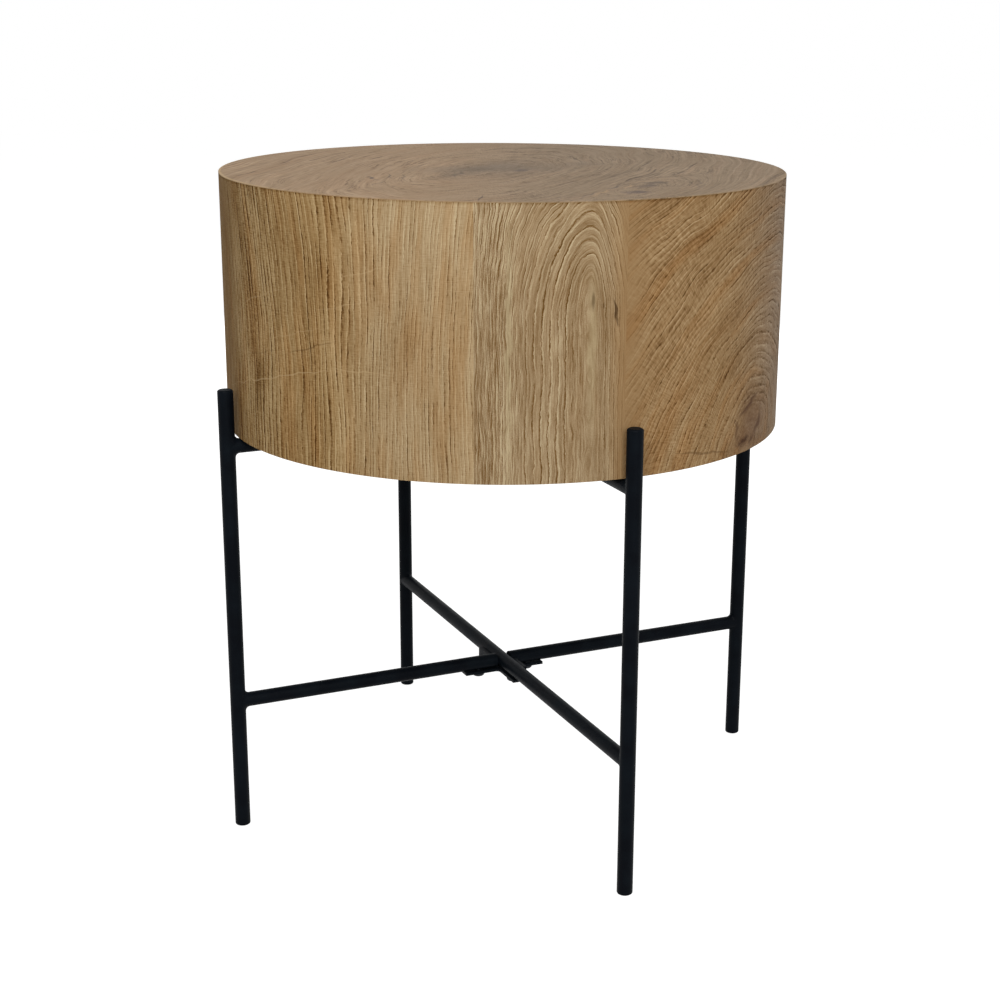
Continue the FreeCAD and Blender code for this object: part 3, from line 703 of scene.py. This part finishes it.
def backingOak(leaf):
    # Plain sliced oak: straight brown pore lines under a thin matt lacquer
    material, tree = newMaterial("oakBacking")
    place = addNode(tree, "ShaderNodeTexCoord", output="Object")
    place = addNode(tree, "ShaderNodeMapping", {"Vector": place, "Scale": (1000, 1000, 1000)})
    parts = addNode(tree, "ShaderNodeSeparateXYZ", {0: place}).node.outputs
    lines = addNode(tree, "ShaderNodeGroup", {"Girth": parts["X"], "Height": parts["Y"], **leaf["lines"]},
                    node_tree=bentMap).node.outputs
    figure = addNode(tree, "ShaderNodeGroup",
                     {"Ring": lines["Ring"], "Along": lines["Along"], **leaf["figure"]},
                     node_tree=oakFigure).node.outputs
    colour = addNode(tree, "ShaderNodeValToRGB", {0: figure["Tone"]}, stops=leaf["ramp"])
    colour = addBlush(tree, colour, figure["Blush"], leaf["blush"])
    colour = addRays(tree, colour, parts["X"], parts["Y"], leaf["rays"])
    finishOak(tree, colour, figure["Relief"], figure["Tone"], lacquer["backingShine"])
    return material


nodes["bottom_veneer"].material_slots[0].material = backingOak(backing)
print("top and backing veneer finished")


# Core of the drum, unseen when the table is whole
core = {"felt": 0.9, "boardCloudsPerMetre": 30, "ply": 1.4, "plyContrast": 0.14,
        "fibresPerMetre": (900, 900, 60), "pineRing": 3.2, "pineWavePerMetre": 9,
        "pineWave": (0.008, 0.008, 0.008), "pineHeart": (0.075, 0.11, 0),
        "turningPerMetre": (300, 300, 4000), "depth": 0.0002, "brassDepth": 0.0001}


def fibreboard():
    # Wood flour pressed with resin: even, felted and dull
    material, tree = newMaterial("fibreboard")
    place = addNode(tree, "ShaderNodeTexCoord", output="Object")
    felt = addNode(tree, "ShaderNodeTexNoise",
                   {"Vector": place, "Scale": 1000 / core["felt"], "Detail": 4.0, "Distortion": 1.5})
    cloud = addNode(tree, "ShaderNodeTexNoise",
                    {"Vector": place, "Scale": core["boardCloudsPerMetre"], "Detail": 2.0})
    mixed = addNode(tree, "ShaderNodeMath", {0: cloud, 1: 0.5, 2: felt}, operation="MULTIPLY_ADD")
    colour = addNode(tree, "ShaderNodeValToRGB", {0: mixed},
                     stops=[(0.45, "7c6243"), (0.75, "9d8058"), (1.0, "b89b70")])
    addSurface(tree, felt, 0.3, core["depth"],
               {"Base Color": colour, "Roughness": 0.9, "Specular IOR Level": 0.15})
    return material


def bentPlywood():
    # Birch plies wrapped round the drum: thin light and dark bands on the cut edge
    material, tree = newMaterial("bentPlywood")
    place = addNode(tree, "ShaderNodeTexCoord", output="Object")
    flat = addNode(tree, "ShaderNodeVectorMath", {0: place, 1: (1000, 1000, 0)}, operation="MULTIPLY")
    radius = addNode(tree, "ShaderNodeVectorMath", {0: flat}, output="Value", operation="LENGTH")
    plies = addNode(tree, "ShaderNodeMath", {0: radius, 1: math.pi / core["ply"]}, operation="MULTIPLY")
    plies = addNode(tree, "ShaderNodeMath", {0: plies}, operation="SINE")
    fibre = addCloud(tree, place, core["fibresPerMetre"], 4.0)
    tone = addNode(tree, "ShaderNodeMath", {0: plies, 1: core["plyContrast"], 2: fibre},
                   operation="MULTIPLY_ADD")
    colour = addNode(tree, "ShaderNodeValToRGB", {0: tone},
                     stops=[(0.25, "9b7d55"), (0.5, "c3a67b"), (0.75, "d8c098")])
    rough = addNode(tree, "ShaderNodeMapRange", {"Value": fibre, "To Min": 0.85, "To Max": 0.65})
    addSurface(tree, tone, 0.3, core["depth"],
               {"Base Color": colour, "Roughness": rough, "Specular IOR Level": 0.2})
    return material


def sawnPine():
    # Sawn pine, the grain upright: broad pale early wood and thin amber late wood
    material, tree = newMaterial("sawnPine")
    place = addNode(tree, "ShaderNodeTexCoord", output="Object")
    fine = addCloud(tree, place, core["fibresPerMetre"], 3.0)
    warp = addNode(tree, "ShaderNodeTexNoise",
                   {"Vector": place, "Scale": core["pineWavePerMetre"], "Detail": 2.0}, output="Color")
    place = addNode(tree, "ShaderNodeVectorMath", {0: warp, 1: core["pineWave"], 2: place},
                    operation="MULTIPLY_ADD")
    # The rings' heart is off the drum's axis, so that each batten is cut another way
    place = addNode(tree, "ShaderNodeVectorMath", {0: place, 1: core["pineHeart"]}, operation="ADD")
    # The wave texture draws 20 / 2 pi rings to a unit
    rings = addNode(tree, "ShaderNodeTexWave",
                    {"Vector": place, "Scale": 2 * math.pi / 20 * 1000 / core["pineRing"], "Distortion": 1.5,
                     "Detail": 2.0, "Detail Scale": 0.3}, wave_type="RINGS", rings_direction="Z",
                    wave_profile="SAW", output="Fac")
    tone = addNode(tree, "ShaderNodeMath", {0: fine, 1: 0.35, 2: rings}, operation="MULTIPLY_ADD")
    colour = addNode(tree, "ShaderNodeValToRGB", {0: tone},
                     stops=[(0.2, "e0c898"), (0.8, "cba467"), (1.0, "a9763d")])
    addSurface(tree, tone, 0.25, core["depth"],
               {"Base Color": colour, "Roughness": 0.75, "Specular IOR Level": 0.2})
    return material


def turnedBrass():
    # Turned brass, dulled in the board
    material, tree = newMaterial("turnedBrass")
    place = addNode(tree, "ShaderNodeTexCoord", output="Object")
    turning = addCloud(tree, place, core["turningPerMetre"], 2.0)
    colour = addNode(tree, "ShaderNodeValToRGB", {0: turning}, stops=[(0.3, "a07c3a"), (0.7, "c9a65c")])
    rough = addNode(tree, "ShaderNodeMapRange", {"Value": turning, "To Min": 0.28, "To Max": 0.5})
    addSurface(tree, turning, 0.2, core["brassDepth"],
               {"Base Color": colour, "Metallic": 1.0, "Roughness": rough})
    return material


board, plywood, pine = fibreboard(), bentPlywood(), sawnPine()
coreFinishes = {"top_board": board, "bottom_board": board, "side_hoop": plywood, "former_ring": board,
                "drum_threaded_inserts": turnedBrass()}
for name, node in nodes.items():
    if "batten" in name:
        node.material_slots[0].material = pine
    elif name in coreFinishes:
        node.material_slots[0].material = coreFinishes[name]
print("core finished")


# Steel
steel = {"coat": "090c11", "coatDust": "0f1419", "peel": 0.9, "dustPerMetre": 60,
         "roughness": (0.36, 0.5), "shine": 0.03, "coatDepth": 0.00025, "zincBlotchesPerMetre": 450,
         "zincDepth": 0.0001}


def blackPowderCoat():
    # Polyester powder baked on steel: satin, near black and faintly blue, with a fine orange peel
    material, tree = newMaterial("blackPowderCoat")
    place = addNode(tree, "ShaderNodeTexCoord", output="Object")
    peel = addNode(tree, "ShaderNodeTexNoise",
                   {"Vector": place, "Scale": 1000 / steel["peel"], "Detail": 2.0})
    cloud = addNode(tree, "ShaderNodeTexNoise",
                    {"Vector": place, "Scale": steel["dustPerMetre"], "Detail": 3.0})
    colour = addNode(tree, "ShaderNodeValToRGB", {0: cloud},
                     stops=[(0.35, steel["coat"]), (0.7, steel["coatDust"])])
    rough = addNode(tree, "ShaderNodeMapRange",
                    {"Value": cloud, "From Min": 0.3, "From Max": 0.7, "To Min": steel["roughness"][0],
                     "To Max": steel["roughness"][1]})
    addSurface(tree, peel, 0.5, steel["coatDepth"],
               {"Base Color": colour, "Roughness": rough, "IOR": 1.5, "Specular IOR Level": steel["shine"]})
    return material


def blackZinc():
    # Zinc plate passivated black: dark metal with a dull, slightly blotchy shine
    material, tree = newMaterial("blackZincSteel")
    place = addNode(tree, "ShaderNodeTexCoord", output="Object")
    cloud = addNode(tree, "ShaderNodeTexNoise",
                    {"Vector": place, "Scale": steel["zincBlotchesPerMetre"], "Detail": 3.0})
    colour = addNode(tree, "ShaderNodeValToRGB", {0: cloud}, stops=[(0.3, "15171a"), (0.7, "24272b")])
    rough = addNode(tree, "ShaderNodeMapRange", {"Value": cloud, "To Min": 0.3, "To Max": 0.55})
    addSurface(tree, cloud, 0.15, steel["zincDepth"],
               {"Base Color": colour, "Metallic": 0.8, "Roughness": rough})
    return material


coat = blackPowderCoat()
zinc = blackZinc()
for name, node in nodes.items():
    if name.startswith(("leg_", "upper_", "lower_")) and "batten" not in name:
        node.material_slots[0].material = coat
for name in ("upper_joint_bolts", "lower_joint_bolts", "drum_bolts", "drum_saddle_washers"):
    nodes[name].material_slots[0].material = zinc
print("steel finished")


# Stage
studio = {"floor": 12.0, "world": 0.32, "glow": 0.89, "floorColour": "9c9c9c"}


def seenDirectly(tree):
    # 1 for what the camera sees, straight or in a reflection, and 0 for what lights the table
    ray = addNode(tree, "ShaderNodeLightPath").node.outputs
    seen = addNode(tree, "ShaderNodeMath", {0: ray["Is Camera Ray"], 1: ray["Is Glossy Ray"]},
                   operation="ADD")
    return addNode(tree, "ShaderNodeMath", {0: seen, 1: ray["Is Transmission Ray"]}, operation="ADD",
                   use_clamp=True)


def makeFloor():
    mesh = bpy.data.meshes.new("studioFloor")
    shape = bmesh.new()
    bmesh.ops.create_grid(shape, x_segments=1, y_segments=1, size=studio["floor"] / 2)
    shape.to_mesh(mesh)
    shape.free()
    floor = bpy.data.objects.new("studioFloor", mesh)
    scene.collection.objects.link(floor)
    material, tree = newMaterial("studioFloor")
    glow = addNode(tree, "ShaderNodeMath", {0: seenDirectly(tree), 1: studio["glow"]}, operation="MULTIPLY")
    light = addNode(tree, "ShaderNodeEmission", {"Strength": glow})
    matt = addNode(tree, "ShaderNodeBsdfDiffuse", {"Color": linear(studio["floorColour"])})
    surface = addNode(tree, "ShaderNodeAddShader", {0: light, 1: matt})
    addNode(tree, "ShaderNodeOutputMaterial", {"Surface": surface})
    mesh.materials.append(material)


def makeWorld():
    world = bpy.data.worlds.new("studio")
    scene.world = world
    world.use_nodes = True
    tree = world.node_tree
    tree.nodes.clear()
    strength = addNode(tree, "ShaderNodeMapRange",
                       {"Value": seenDirectly(tree), "To Min": studio["world"], "To Max": 1.0})
    light = addNode(tree, "ShaderNodeBackground", {"Color": (1, 1, 1, 1), "Strength": strength})
    addNode(tree, "ShaderNodeOutputWorld", {"Surface": light})


lamps = {
    "keyLamp": {"place": (-0.76, -1.6, 1.72), "size": (1.6, 1.6), "power": 37},
    "stripLamp": {"place": (-0.3, -2.3, 0.8), "size": (0.35, 1.6), "power": 8},
    "sideLamp": {"place": (1.7, -0.7, 0.9), "size": (1.0, 1.0), "power": 4},
    "backLamp": {"place": (0.86, 1.66, 0.55), "size": (1.8, 1.0), "power": 22},
}


def makeLamp(name, lamp):
    data = bpy.data.lights.new(name, "AREA")
    data.shape = "RECTANGLE"
    data.size, data.size_y = lamp["size"]
    data.energy = lamp["power"]
    light = bpy.data.objects.new(name, data)
    light.location = lamp["place"]
    light.rotation_euler = (Vector((0, 0, 0.3)) - light.location).to_track_quat("-Z", "Y").to_euler()
    light.visible_camera = False
    light.visible_glossy = name != "backLamp"
    scene.collection.objects.link(light)


makeFloor()
makeWorld()
for name, lamp in lamps.items():
    makeLamp(name, lamp)
print("studio lit")
